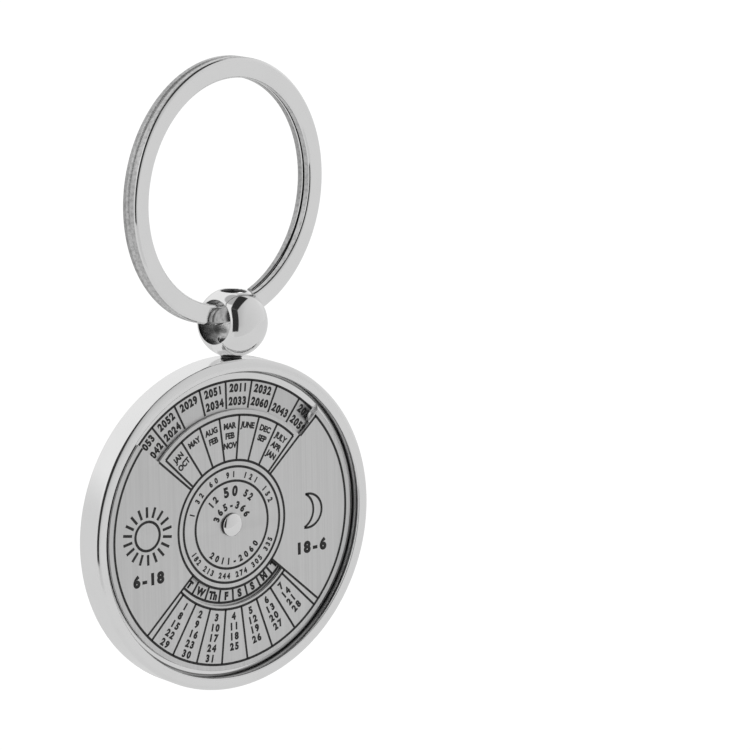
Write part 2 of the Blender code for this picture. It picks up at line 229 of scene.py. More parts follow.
nickel = polished_metal('polished_nickel', 0.88, 0.05, 0.06, 0.00002)
case_metal = polished_metal('case_plating', 0.88, 0.07, 0.07, 0.00002)
pin_metal = polished_metal('pin_plating', 0.95, 0.14, 0.06, 0.00001)
# Dark steel: its darkness paints the shade on the collar under the ball, in the ball's top hole and round the
# rivet's foot.
dark_steel_and_shade = polished_metal('washer_steel_and_painted_shade', 0.10, 0.30, 0.10, 0.00001)
# Near-black tone: painted shade in the gap between the ring's two coils.
painted_seam_shade = polished_metal('seam_shade', 0.03, 0.45, 0.10, 0.00001)
# Pocket tone: darker, to paint the shade in the gap between the face and the rim.
pocket_painted_shade = polished_metal('turned_pocket_painted_shade', 0.52, 0.16, 0.10, 0.00003)
# Spring steel for the hidden friction washer; its dark tone also paints the shade on the year disc's outer
# strip.
spring_washer_and_shade = polished_metal('spring_steel_and_painted_shade', 0.35, 0.35, 0.10, 0.00001)
print('polished finishes:', nickel.name, case_metal.name, pin_metal.name, dark_steel_and_shade.name)

# %% [markdown]
# ## Finish: worked surfaces that were never polished
# The wire's rolled sides and the ball's drilled bore are duller than the rest and carry tool marks. Their
# brightness also changes along the piece, as painted light: the back coil is painted darker than the front
# one as shade, most of all beside the seam, and the bore is painted dark just inside its near mouth as shade,
# with narrow bands of painted shade and painted reflection along it. A ramp along one direction of the piece
# gives that.

# %% Worked metal
WORN_STOPS = [(0.36, 0.74), (0.56, 1.0)]
WORN_ROUGHNESS = 0.12
TOOL_STRENGTH = 0.3
TOOL_HEIGHT = 0.01 * MM


def worked_metal(name, axis, reach, stops, roughness, grain):
    """Dull metal whose tone follows a ramp along an axis, from minus the reach to plus the reach."""
    material, finish, shader = principled(name, {'Metallic': 1.0})
    place = finish.node('ShaderNodeTexCoord', output='Object')
    along = finish.node('ShaderNodeVectorMath', {'operation': 'DOT_PRODUCT'}, [place, axis], 1)
    tone = finish.ramp(along * (0.5 / reach) + 0.5, stops)
    marks = finish.noise(place, grain, 3.0)
    worn = finish.ramp(marks, WORN_STOPS)
    tint = finish.blend(1.0, tone, worn, 'MULTIPLY')
    finish.coat(shader, tint, roughness + WORN_ROUGHNESS * (1 - worn), (TOOL_STRENGTH, TOOL_HEIGHT, marks))
    return material


# Painted shade: the rolled sides darken toward the back coil.
ROLLED_SHADE_TONES = [(0.35, 0.48), (0.65, 0.60)]
DULL_TONES = [(0.25, 0.60), (0.50, 0.80)]
ROLLED_REACH = 1.06 * MM
ROLLED_GRAIN = 2600.0
# The bore's tone bands are painted light: dark just inside the near mouth as shade, and narrow dark bands
# that paint shade and reflections along the wall.
BORE_PAINTED_TONES = [(0.00, 0.06), (0.20, 0.16), (0.29, 0.26), (0.33, 0.80), (0.45, 0.80), (0.515, 0.50),
              (0.53, 0.04), (0.548, 0.80), (0.565, 0.80), (0.585, 0.05), (0.61, 0.65), (0.77, 0.70),
              (0.81, 0.05), (1.0, 0.20)]
BORE_REACH = 4.4 * MM
BORE_GRAIN = 1800.0
across_ring = Vector((0, 0, 1))
bore_way = ring_right * 0.6 + Vector((ring_right.y, -ring_right.x, 0)) * 0.8
rolled_side_shaded = worked_metal('rolled_side', across_ring, ROLLED_REACH, ROLLED_SHADE_TONES, 0.16, ROLLED_GRAIN)
dull_metal = worked_metal('rolled_side_dull', across_ring, ROLLED_REACH, DULL_TONES, 0.36, ROLLED_GRAIN)
bore_shade_and_reflections = worked_metal('drilled_bore_painted_light', bore_way, BORE_REACH, BORE_PAINTED_TONES, 0.22, BORE_GRAIN)
print('worked finishes:', rolled_side_shaded.name, dull_metal.name, bore_shade_and_reflections.name)

# %% [markdown]
# ## Finish: brushed face
# The face plate was drawn under a belt from top to bottom, so it carries thousands of fine upright scratches.
# A noise stretched a hundred times along the brushing makes them. It darkens some lines, roughens them, and
# tips the surface a little to each side, which is what spreads the reflections sideways.

# %% Brushed metal
FINE_STREAKS = (5200.0, 70.0, 70.0)
COARSE_STREAKS = (1500.0, 24.0, 24.0)
STREAK_STOPS = [(0.38, 0.0), (0.62, 1.0)]
STREAK_ROUGHNESS = 0.10
STREAK_STRENGTH = 0.35


def brushed_metal(name, tone, roughness, streak_tone, streak_height):
    """Metal brushed along the piece's own Y, with fine and coarse streaks."""
    material, finish, shader = principled(name, {'Metallic': 1.0})
    place = finish.node('ShaderNodeTexCoord', output='Object')
    fine_place = finish.node('ShaderNodeMapping', {}, {'Vector': place, 'Scale': FINE_STREAKS})
    coarse_place = finish.node('ShaderNodeMapping', {}, {'Vector': place, 'Scale': COARSE_STREAKS})
    streaks = finish.noise(fine_place, 1.0, 3.0) * 0.6 + finish.noise(coarse_place, 1.0, 2.0) * 0.4
    line = finish.ramp(streaks, STREAK_STOPS)
    tint = finish.blend(line, grey(tone * (1 - streak_tone)), grey(tone * (1 + streak_tone)))
    relief = (STREAK_STRENGTH, streak_height, streaks)
    finish.coat(shader, tint, roughness + STREAK_ROUGHNESS * (1 - line), relief)
    return material


plate_metal = brushed_metal('brushed_face', 0.69, 0.28, 0.035, 0.000012)
disc_metal = brushed_metal('satin_disc', 0.67, 0.36, 0.015, 0.000006)
print('brushed finishes:', plate_metal.name, disc_metal.name)

# %% [markdown]
# ## Finish: the marks
# The marks are a thin coat of dark enamel. It is not quite even, so a fine noise lets it go a little lighter
# and rougher in places.

# %% Dark enamel
ENAMEL_GRAIN = 2600.0
ENAMEL_STOPS = [(0.45, 0.0), (0.75, 1.0)]


def enamel(name, dark, light):
    """Matt dark ink, a little uneven."""
    material, finish, shader = principled(name, {'Metallic': 0.0, 'Specular IOR Level': 0.25})
    place = finish.node('ShaderNodeTexCoord', output='Object')
    worn = finish.ramp(finish.noise(place, ENAMEL_GRAIN, 3.0), ENAMEL_STOPS)
    finish.coat(shader, finish.blend(worn, grey(dark), grey(light)), 0.50 + 0.15 * worn)
    return material


ink_black = enamel('dark_enamel', 0.022, 0.05)
print('marks:', ink_black.name)

# %% [markdown]
# ## Putting a piece in the scene
# Every piece has a mesh, a finish, a place, the body that it rides on, and the CAD nodes that it stands for.
# Some pieces have a second finish on part of their faces, such as a dull bore in a polished ball. Modifiers
# are applied at once, so that what follows works on plain meshes.

# %% Piece helpers
SHARP = radians(40)


def placed(name, data):
    """A new object in the scene."""
    thing = bpy.data.objects.new(name, data)
    bpy.context.scene.collection.objects.link(thing)
    return thing


def add_piece(name, mesh, material, place, body, *nodes):
    """Put a piece in the scene with its finish, riding on a body and standing for CAD nodes."""
    piece = placed(name, mesh)
    piece.matrix_world = place
    piece.data.materials.clear()
    piece.data.materials.append(material)
    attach(piece, body)
    if nodes:
        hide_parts(*nodes)
    return piece


def finish_part(piece, material, belongs):
    """Give some faces of a piece another finish."""
    piece.data.materials.append(material)
    for face in piece.data.polygons:
        if belongs(face):
            face.material_index = len(piece.data.materials) - 1


def smooth(mesh):
    """Smooth shading with sharp corners kept."""
    mesh.shade_smooth()
    mesh.set_sharp_from_angle(angle=SHARP)
    return mesh


def mesh_of(cage, name):
    """Turn a bmesh into a mesh and free it."""
    mesh = bpy.data.meshes.new(name)
    cage.to_mesh(mesh)
    cage.free()
    return mesh


def evaluated_mesh(data, modifiers=()):
    """The mesh of curve or mesh data after its modifiers, each a (type, settings) pair."""
    guide = placed('guide', data)
    for kind, settings in modifiers:
        modifier = guide.modifiers.new(kind, kind)
        for name, value in settings.items():
            setattr(modifier, name, value)
    graph = bpy.context.evaluated_depsgraph_get()
    mesh = bpy.data.meshes.new_from_object(guide.evaluated_get(graph))
    bpy.data.objects.remove(guide)
    return mesh

# %% [markdown]
# ## Rolled edges and swept skins
# An edge that is eased, even by a tenth of a millimetre, catches a line of light, and that line is most of
# what makes polished metal look real. `rolled_edge` eases an edge in several bends, because a real edge is
# rarely one even arc. `skinned` lays faces over a row of closed loops, as the ring and the ball need.

# %% Edge and skin helpers
BEND_STEP = 5


def rolled_edge(bends):
    """Runs and drops along an edge that turns by a right angle, each bend an end angle and a radius."""
    points = [Vector((0, 0))]
    start = 0
    for end, radius in bends:
        count = max(2, round((end - start) / BEND_STEP))
        for index in range(count):
            angle = radians(start + (end - start) * (index + 0.5) / count)
            length = radius * radians((end - start) / count)
            points.append(points[-1] + length * Vector((cos(angle), sin(angle))))
        start = end
    return points


def skinned(name, loops, closed=False):
    """A mesh over a row of closed loops of points, joined end to end or capped."""
    cage = bmesh.new()
    rows = [[cage.verts.new(point) for point in loop] for loop in loops]
    for one, two in zip(rows[-1:] + rows, rows) if closed else zip(rows, rows[1:]):
        for step in range(len(one)):
            cage.faces.new((one[step - 1], one[step], two[step], two[step - 1]))
    if not closed:
        cage.faces.new(rows[0])
        cage.faces.new(rows[-1][::-1])
    bmesh.ops.recalc_face_normals(cage, faces=cage.faces)
    return mesh_of(cage, name)


def eased(value, start, end):
    """A smooth step from 0 to 1 between two values."""
    share = min(max((value - start) / (end - start), 0), 1)
    return share * share * (3 - 2 * share)

# %% [markdown]
# ## The split ring
# A split ring is one flat spring wire wound twice round, so its two coils lie face to face with a seam
# between them, and near the ends the wire crosses from one coil to the other. The wire's section, with its
# rolled edges, is carried along that path station by station. A torus would lose the seam and the flat faces.
# The wide faces are polished, the rolled sides are dull and painted darker on the back coil as shade, and the
# seam on the ring's inner side is painted dark as shade.

# %% Wind the ring
WIRE_THICKNESS = 1.04 * MM
COIL_PITCH = 1.08 * MM
OUTER_FRONT_EASE = 0.42 * MM
OUTER_BACK_EASE = 0.18 * MM
INNER_FRONT_EASE = 0.32 * MM
INNER_BACK_EASE = 0.24 * MM
ROLLED_BULGE = 7.0
SEAM_REACH = 0.16 * MM
DULL_REACH = 0.55 * MM
CROSSING_END = radians(24)
CROSSING_TURN = radians(14)
STATIONS = 560
POLISHED_SLOPE = 0.6


def coil_height(wind):
    """The wire's place across the ring: one coil, the crossing, then the other coil."""
    return COIL_PITCH * (eased(wind, 2 * pi - CROSSING_TURN, 2 * pi) - 1 / 2)


def rolled_corner(size):
    """Distances from a corner's two sides along a rolled edge, which curves least in its middle."""
    points = rolled_edge([(30, 1), (60, ROLLED_BULGE), (90, 1)])
    whole = points[-1].x
    return [(size * point.y / whole, size * (whole - point.x) / whole) for point in points]


def wire_section():
    """The wire's outline, outward and toward the front, with its four rolled edges."""
    wide, thick = wire_width / 2, WIRE_THICKNESS / 2
    section = [(x - wide, y - thick) for x, y in rolled_corner(INNER_BACK_EASE)]
    section += [(wide - x, y - thick) for x, y in rolled_corner(OUTER_BACK_EASE)[::-1]]
    section += [(wide - x, thick - y) for x, y in rolled_corner(OUTER_FRONT_EASE)]
    section += [(x - wide, thick - y) for x, y in rolled_corner(INNER_FRONT_EASE)[::-1]]
    return section


def wind_ring():
    """Sweep the wire's section along two turns."""
    section = wire_section()
    total = 4 * pi - CROSSING_TURN
    loops = []
    for station in range(STATIONS + 1):
        wind = total * station / STATIONS
        angle = CROSSING_END + wind
        outward = Vector((sin(angle), -cos(angle), 0))
        middle = outward * (ring_radius - wire_width / 2) + Vector((0, 0, coil_height(wind)))
        loops.append([middle + outward * x + Vector((0, 0, y)) for x, y in section])
    return smooth(skinned('split_ring_wire', loops))


def outside(face):
    """Whether a face lies on the outer half of the wire."""
    return face.center.to_2d().length > ring_radius - wire_width / 2


def in_seam(face):
    """Whether a face lies in the seam along the ring's inner side, away from the crossing."""
    x, y, z = face.center
    crossing = CROSSING_END - CROSSING_TURN < atan2(x, -y) < CROSSING_END
    return not outside(face) and not crossing and abs(z) < SEAM_REACH


ring_turn = Matrix.Rotation(ring_right.to_2d().angle_signed(Vector((1, 0))), 4, 'Z')
ring_place = Matrix.Translation(ring_centre) @ ring_turn @ Matrix.Rotation(radians(90), 4, 'X')
ring = add_piece('split_ring_wire', wind_ring(), nickel, ring_place, 'ring', 'split_ring')
# Rolled sides carry tool marks and a ramp of painted shade toward the back coil.
finish_part(ring, rolled_side_shaded, lambda face: abs(face.normal.z) < POLISHED_SLOPE)
finish_part(ring, dull_metal, lambda face: outside(face) and -DULL_REACH < face.center.z < 0)
# The seam faces get the near-black finish, painted shade between the coils.
finish_part(ring, painted_seam_shade, in_seam)
print('ring faces:', len(ring.data.polygons))

# %% [markdown]
# ## The swivel ball
# The ball is a sphere with a bore through it for the ring, a little above its middle. Cutting a sphere with a
# Boolean leaves a ragged lip, so the ball is lofted instead: at every angle round the bore's line, a closed
# profile runs along the bore, over the rounded lip and back along the sphere.

# %% Shape the ball
BORE_RADIUS = 2.95 * MM
BORE_THROAT = 2.61 * MM
MOUTH_FLARE = 0.30
MOUTH_LIMIT = 3.6 * MM
NEAR_RADIUS = 2.60 * MM
NEAR_DROP = 0.21 * MM
NEAR_START = -0.4 * MM
NEAR_FULL = -1.8 * MM
LIP = 0.10 * MM
SEAT_DROP = 3.95 * MM
BALL_SIDES = 144
BALL_SWEEP = 40
BORE_SHARES = (0.1, 0.2, 0.3, 0.4, 0.5, 0.7, 0.9)

bore_rise = bore_centre.z - ball_centre.z


def round_corners(corners, steps=6):
    """Points of an outline whose (x, y, radius) corners are turned into arcs."""
    points = []
    count = len(corners)
    for index, (x, y, radius) in enumerate(corners):
        corner = Vector((x, y))
        if radius == 0:
            points.append(corner)
            continue
        before = (Vector(corners[index - 1][:2]) - corner).normalized()
        after = (Vector(corners[(index + 1) % count][:2]) - corner).normalized()
        half = before.angle(after) / 2
        centre = corner + (before + after).normalized() * radius / sin(half)
        run = radius * cos(half) / sin(half)
        start = (corner + before * run - centre).normalized()
        end = (corner + after * run - centre).normalized()
        points += [centre + radius * start.slerp(end, step / steps) for step in range(steps + 1)]
    return points


def bore_wall(along, angle):
    """The bore's reach from its line: plain in the middle, wide at the far mouth, narrow at the near one."""
    wide = BORE_RADIUS + max(along - BORE_THROAT, 0) * MOUTH_FLARE
    narrow = sqrt(NEAR_RADIUS ** 2 - (NEAR_DROP * sin(angle)) ** 2) - NEAR_DROP * cos(angle)
    return wide + (narrow - wide) * eased(along, NEAR_START, NEAR_FULL)


def sphere_reach(along, angle):
    """How far the sphere lies from the bore's line."""
    return sqrt(ball_radius ** 2 - along ** 2 - (bore_rise * sin(angle)) ** 2) - bore_rise * cos(angle)


def mouth(angle, side):
    """Where the bore's wall meets the sphere on one side, found by halving."""
    near, far = 0, side * MOUTH_LIMIT
    for _ in range(40):
        middle = (near + far) / 2
        if sphere_reach(middle, angle) > bore_wall(middle, angle):
            near = middle
        else:
            far = middle
    return near


def ball_profile(angle):
    """The closed profile at one angle round the bore: the sphere's side, then back along the bore."""
    left, right = mouth(angle, -1), mouth(angle, 1)
    over = [right + (left - right) * (0.05 + 0.90 * step / BALL_SWEEP) for step in range(BALL_SWEEP + 1)]
    back = [left + (right - left) * share for share in BORE_SHARES]
    corners = [(right, bore_wall(right, angle), LIP)]
    corners += [(along, sphere_reach(along, angle), 0) for along in over]
    corners += [(left, bore_wall(left, angle), LIP)]
    corners += [(along, bore_wall(along, angle), 0) for along in back]
    return round_corners(corners, 5)


def loft_ball():
    """Carry the profile round the bore, with the sphere cut flat where the ball seats."""
    loops = []
    for side in range(BALL_SIDES):
        angle = 2 * pi * side / BALL_SIDES
        loops.append([(along, reach * sin(angle), max(bore_rise + reach * cos(angle), -SEAT_DROP))
                      for along, reach in ball_profile(angle)])
    return skinned('ball', loops, closed=True)


ball_blank = loft_ball()
print('lofted ball faces:', len(ball_blank.polygons))

# %% [markdown]
# ## Holes in the ball
# The pin passes through the ball's foot and its head sits in a well there. A hole in the top lets the head
# in, and its edge rolls outward until it meets the sphere. Straight holes in a clean mesh can be cut with a
# Boolean. The bore is left as drilled and carries painted shade and painted reflections, and the top hole's
# wall is painted dark as shade.

# %% Cut the holes
TOP_HOLE_RADIUS = 1.45 * MM
TOP_HOLE_LIP = 0.28 * MM
HEAD_WELL_RADIUS = 1.70 * MM
HEAD_WELL_FLOOR = -2.60 * MM
PIN_PASSAGE = 0.75 * MM
BORE_DEPTH = 0.07 * MM
TOP_HOLE_DEPTH = 0.16 * MM
TOP_HOLE_FOOT = 3.0 * MM


def turned(profile, steps, closed=False):
    """Spin a (radius, height) profile about Z. It runs down its outer side."""
    mesh = bpy.data.meshes.new('turned')
    edges = [(index, index + 1) for index in range(len(profile) - 1)]
    if closed:
        edges.append((len(profile) - 1, 0))
    mesh.from_pydata([(point[0], 0, point[1]) for point in profile], edges, [])
    screw = {'steps': steps, 'render_steps': steps, 'use_merge_vertices': True, 'merge_threshold': 1e-7}
    return smooth(evaluated_mesh(mesh, [('SCREW', screw)]))


def plain_hole(radius, low, high):
    """Profile of a straight hole."""
    return [(0, high), (radius, high), (radius, low), (0, low)]


def lipped_hole(radius, low, lip, steps=6):
    """Profile of a hole whose upper edge rolls outward until it meets the sphere."""
    roll = radius + lip
    middle = sqrt((ball_radius - lip) ** 2 - roll ** 2)
    wide, above = roll + 2 * lip, ball_radius + lip
    profile = [(0, above), (wide, above), (wide, middle + 2 * lip)]
    for step in range(steps + 1):
        angle = radians(75 + 105 * step / steps)
        profile.append((roll + lip * cos(angle), middle + lip * sin(angle)))
    return profile + [(radius, low), (0, low)]


profiles = [plain_hole(HEAD_WELL_RADIUS, HEAD_WELL_FLOOR, bore_rise),
            plain_hole(PIN_PASSAGE, -ball_radius, bore_rise),
            lipped_hole(TOP_HOLE_RADIUS, bore_rise, TOP_HOLE_LIP)]
cutters = [placed('cutter', turned(profile, 96)) for profile in profiles]
ball_mesh = evaluated_mesh(ball_blank, [('BOOLEAN', {'object': tool}) for tool in cutters])
for tool in cutters:
    bpy.data.objects.remove(tool)
ball_mesh.transform(ring_turn)
ball_place = Matrix.Translation(ball_centre)
ball = add_piece('swivel_ball_polished', smooth(ball_mesh), nickel, ball_place, 'ball', 'swivel_ball')


def in_bore(face):
    """Whether a face lies deeper than the sphere's skin."""
    return face.center.length < ball_radius - BORE_DEPTH


def in_top_hole(face):
    """Whether a face lies in the hole in the top, below its rolled edge."""
    return face.center.z > TOP_HOLE_FOOT and face.center.length < ball_radius - TOP_HOLE_DEPTH


# Bore faces get the ramp of painted shade and painted reflection.
finish_part(ball, bore_shade_and_reflections, in_bore)
# The top hole's wall is painted dark as shade.
finish_part(ball, dark_steel_and_shade, in_top_hole)
print('ball faces:', len(ball.data.polygons))

# %% [markdown]
# ## The pin and the washer under the ball
# The pin is headed over inside the bore, so its domed head shows through the ball's mouth. The washer keeps
# the ball off the case. Both are turned pieces.

# %% Turn the pin and the washer
PIN_RADIUS = 0.60 * MM
PIN_HEAD_HEIGHT = 0.80 * MM
WASHER_EASE = 0.06 * MM


def dome(radius, base, height, lip, steps=14):
    """Profile of a domed head, from the top of its axis to its lower edge, with a rounded lip."""
    crown = height - lip
    points = [(radius * sin(pi / 2 * step / steps), base + lip + crown * cos(pi / 2 * step / steps))
              for step in range(steps + 1)]
    return points + [(radius, base + lip * 0.3), (radius * 0.93, base)]


pin_head_radius = (pin_high.x - pin_low.x) / 2
pin_seat = pin_high.z - PIN_HEAD_HEIGHT - ball_centre.z
pin_end = pin_low.z - ball_centre.z
pin_profile = dome(pin_head_radius, pin_seat, PIN_HEAD_HEIGHT, PIN_HEAD_HEIGHT / 3)
pin_profile += [(PIN_RADIUS, pin_seat), (PIN_RADIUS, pin_end), (0, pin_end)]
add_piece('swivel_pin_polished', turned(pin_profile, 64), pin_metal, ball_place, 'case', 'swivel_pin')

washer_radius = (washer_high.x - washer_low.x) / 2
washer_corners = [(PIN_PASSAGE, washer_high.z), (washer_radius, washer_high.z),
                  (washer_radius, washer_low.z), (PIN_PASSAGE, washer_low.z)]
washer_profile = round_corners([(*corner, WASHER_EASE) for corner in washer_corners])
washer_place = Matrix.Translation((ball_centre.x, ball_centre.y, 0))
# The washer's dark steel also paints the shade under the ball.
add_piece('swivel_washer_turned', turned(washer_profile, 96, closed=True), dark_steel_and_shade, washer_place,
          'case', 'swivel_washer')
print('pin head and washer radii, mm:', round(pin_head_radius / MM, 2), round(washer_radius / MM, 2))

# %% [markdown]
# ## The case
# The case is one turned dish: a flat back, a plain wall and a raised rim round the pocket. The rim's outer
# front edge rolls over in three bends. The wide middle bend faces the camera's side of the studio and mirrors
# its dark opening, which draws the thin dark line along the rim. The pocket was turned and not polished, and
# its darker tone paints the shade in the gap between the face and the rim.

# %% Turn the case
RIM_WALL = 1.5 * MM
FLOOR_FRONT = -0.85 * MM
OUTER_BENDS = [(22, 0.2 * MM), (42, 1.3 * MM), (90, 0.2 * MM)]
INNER_EASE = 0.25 * MM
BACK_EASE = 0.25 * MM
POCKET_SKIN = 0.03 * MM
CASE_STEPS = 384


def dial_place(depth=0, turn=0):
    """Local X right, Y up and Z out of the face, at a height before the plate's front."""
    upright = Matrix.Rotation(radians(90), 4, 'X') @ Matrix.Rotation(turn, 4, 'Z')
    return Matrix.Translation(dial_centre - Vector((0, depth, 0))) @ upright


def from_axis(face):
    """How far a face of a dial piece lies from the dial's axis."""
    return face.center.to_2d().length


pocket_radius = case_radius - RIM_WALL
outer_edge = rolled_edge(OUTER_BENDS)
case_corners = [(0, FLOOR_FRONT, 0), (pocket_radius, FLOOR_FRONT, 0), (pocket_radius, rim_front, INNER_EASE)]
case_corners += [(case_radius - outer_edge[-1].x + run, rim_front - drop, 0) for run, drop in outer_edge]
case_corners += [(case_radius, case_back, BACK_EASE), (0, case_back, 0)]
case_mesh = turned(round_corners(case_corners, 8), CASE_STEPS)
case = add_piece('case_dish', case_mesh, case_metal, dial_place(), 'case', 'case_tray')
# The pocket's darker finish paints the shade in the gap round the face.
finish_part(case, pocket_painted_shade,
            lambda face: from_axis(face) < pocket_radius + POCKET_SKIN and face.center.z > case_back / 2)
print('case faces:', len(case.data.polygons))

# %% [markdown]
# ## The year disc
# The disc with the years lies a little behind the face and is fixed in the case. It shows through the notch
# at the top and the slot below the centre, with a real step down at their edges. Past the printed circle it
# is polished like the case, and its outermost strip gets darker steel, painted shade under the rim.

# %% Turn the year disc
DISC_HOLE = 2.8 * MM
DISC_MARGIN = 17.6 * MM
DISC_SHADE = 18.30 * MM
DISC_EASE = 0.05 * MM
disc_corners = [(DISC_HOLE, disc_front, 0), (DISC_MARGIN, disc_front, 0), (DISC_SHADE, disc_front, 0),
                (disc_radius, disc_front, DISC_EASE), (disc_radius, disc_back, DISC_EASE),
                (DISC_HOLE, disc_back, 0)]
disc_mesh = turned(round_corners(disc_corners, 3), CASE_STEPS, closed=True)
disc = add_piece('year_disc_satin', disc_mesh, disc_metal, dial_place(), 'case', 'year_disc')
finish_part(disc, case_metal, lambda face: from_axis(face) > DISC_MARGIN)
# The disc's outermost strip: darker steel, painted shade under the rim.
finish_part(disc, spring_washer_and_shade, lambda face: from_axis(face) > DISC_SHADE)
print('year disc radius, mm:', round(disc_radius / MM, 2), 'of pocket', round(pocket_radius / MM, 2))

# %% [markdown]
# ## The friction washer
# The spring washer sits round the rivet, under the face, where it can't be seen. Its CAD node has the right
# shape already, so it stays and only gets a finish.

# %% Finish the friction washer
friction_washer = frame['nodes']['friction_washer']
friction_washer.data.materials.clear()
friction_washer.data.materials.append(spring_washer_and_shade)
print('friction washer finish:', friction_washer.data.materials[0].name)

# %% [markdown]
# ## The face plate
# The face is a stamped sheet with a wide notch at the top and a slot below the centre. A filled 2D curve with
# a small bevel gives the sheet and its slightly rolled edges in one go. It stands turned by four degrees, as
# someone left it.

# %% Stamp the face plate
PLATE_TURN = radians(4)
PLATE_THICKNESS = 0.3 * MM
PLATE_EASE = 0.035 * MM
NOTCH_RADIUS = 13.95 * MM
NOTCH_HALF = radians(48.1)
SLOT_INNER = 7.95 * MM
SLOT_OUTER = 9.95 * MM
SLOT_HALF = radians(47.7)
RIVET_HOLE = 0.9 * MM
RIVET_HOLE_STEP = radians(8)
MERGE = 1e-7


def around(radius, angle):
    """A point on the dial, its angle counted clockwise from the top."""
    return Vector((radius * sin(angle), radius * cos(angle)))


def arc(radius, start, end, step=radians(1.5)):
    """Points along an arc of the dial."""
    count = max(2, round(abs(end - start) / step))
    return [around(radius, start + (end - start) * index / count) for index in range(count + 1)]


def sheet_from_outline(loops, thickness, ease):
    """A flat sheet from closed loops, its edges eased by a small radius, its middle at Z = 0."""
    curve = bpy.data.curves.new('outline', 'CURVE')
    curve.dimensions = '2D'
    curve.fill_mode = 'BOTH'
    curve.extrude = thickness / 2 - ease
    curve.bevel_depth = ease
    curve.bevel_resolution = 2
    curve.offset = -ease
    for loop in loops:
        spline = curve.splines.new('POLY')
        spline.points.add(len(loop) - 1)
        for point, place in zip(spline.points, loop):
            point.co = (place[0], place[1], 0, 1)
        spline.use_cyclic_u = True
    cage = bmesh.new()
    cage.from_mesh(evaluated_mesh(curve))
    bmesh.ops.remove_doubles(cage, verts=cage.verts, dist=MERGE)
    bmesh.ops.recalc_face_normals(cage, faces=cage.faces)
    return smooth(mesh_of(cage, 'sheet'))


outline = arc(plate_radius, NOTCH_HALF, 2 * pi - NOTCH_HALF) + arc(NOTCH_RADIUS, -NOTCH_HALF, NOTCH_HALF)
slot = arc(SLOT_OUTER, pi - SLOT_HALF, pi + SLOT_HALF) + arc(SLOT_INNER, pi + SLOT_HALF, pi - SLOT_HALF)
rivet_hole = arc(RIVET_HOLE, 0, 2 * pi, RIVET_HOLE_STEP)[:-1]
plate_mesh = sheet_from_outline([outline, slot, rivet_hole], PLATE_THICKNESS, PLATE_EASE)
plate_mesh.transform(Matrix.Translation((0, 0, -PLATE_THICKNESS / 2)))
plate_place = dial_place(turn=PLATE_TURN)
plate = add_piece('face_plate_brushed', plate_mesh, plate_metal, plate_place, 'dial', 'face_plate')
print('face plate faces:', len(plate.data.polygons))

# %% [markdown]
# ## The finger tab
# A tongue on the right edge of the notch is bent up, so that a fingernail can turn the face. It is the same
# sheet, so it is drawn as a bent strip with rounded free corners and thickened with a Solidify modifier.

# %% Bend the tab
TAB_WIDTH = 1.95 * MM
TAB_LENGTH = 1.4 * MM
TAB_LIFT = radians(38)
TAB_BEND = 0.5 * MM
TAB_ROUND = 0.9 * MM
TAB_ALONG = 18
TAB_ACROSS = 16


def tab_sheet():
    """The tab's upper face as a grid: bent along its length, narrowed toward its free end."""
    cage = bmesh.new()
    rows = []
    for step in range(TAB_ALONG + 1):
        run = TAB_LENGTH * step / TAB_ALONG
        angle = min(run / TAB_BEND, TAB_LIFT)
        straight = max(run - TAB_BEND * TAB_LIFT, 0)
        reach = TAB_BEND * sin(angle) + straight * cos(TAB_LIFT)
        rise = TAB_BEND * (1 - cos(angle)) + straight * sin(TAB_LIFT)
        into = max(run - (TAB_LENGTH - TAB_ROUND), 0)
        drawn_in = TAB_ROUND - sqrt(TAB_ROUND ** 2 - min(into, TAB_ROUND * 0.98) ** 2)
        width = TAB_WIDTH - drawn_in
        places = [(reach, rise, width * side / TAB_ACROSS) for side in range(TAB_ACROSS + 1)]
        rows.append([cage.verts.new(place) for place in places])
    for one, two in zip(rows, rows[1:]):
        for side in range(TAB_ACROSS):
            cage.faces.new((one[side], one[side + 1], two[side + 1], two[side]))
    return mesh_of(cage, 'tab')


toward_notch = Vector((-cos(NOTCH_HALF), sin(NOTCH_HALF), 0))
inward = -around(1, NOTCH_HALF).to_3d()
tab_basis = Matrix((toward_notch, Vector((0, 0, 1)), inward)).transposed().to_4x4()
tab_root = around(plate_radius, NOTCH_HALF).to_3d()
solid = {'thickness': PLATE_THICKNESS, 'offset': -1.0}
ease = {'width': PLATE_EASE, 'segments': 3, 'limit_method': 'ANGLE', 'angle_limit': radians(50)}
tab_mesh = smooth(evaluated_mesh(tab_sheet(), [('SOLIDIFY', solid), ('BEVEL', ease)]))
tab_place = plate_place @ Matrix.Translation(tab_root) @ tab_basis
tab = add_piece('finger_tab_bent', tab_mesh, plate_metal, tab_place, 'dial', 'face_plate')
print('finger tab faces:', len(tab.data.polygons))

# %% [markdown]
# ## The centre rivet
# The rivet's head is a low dome, made as a rolled edge that turns from flat to upright in three bends. It is
# highly polished, so it mirrors the bright studio with a dark crescent on the camera's side. Its foot, close
# to the face, is painted dark as shade.

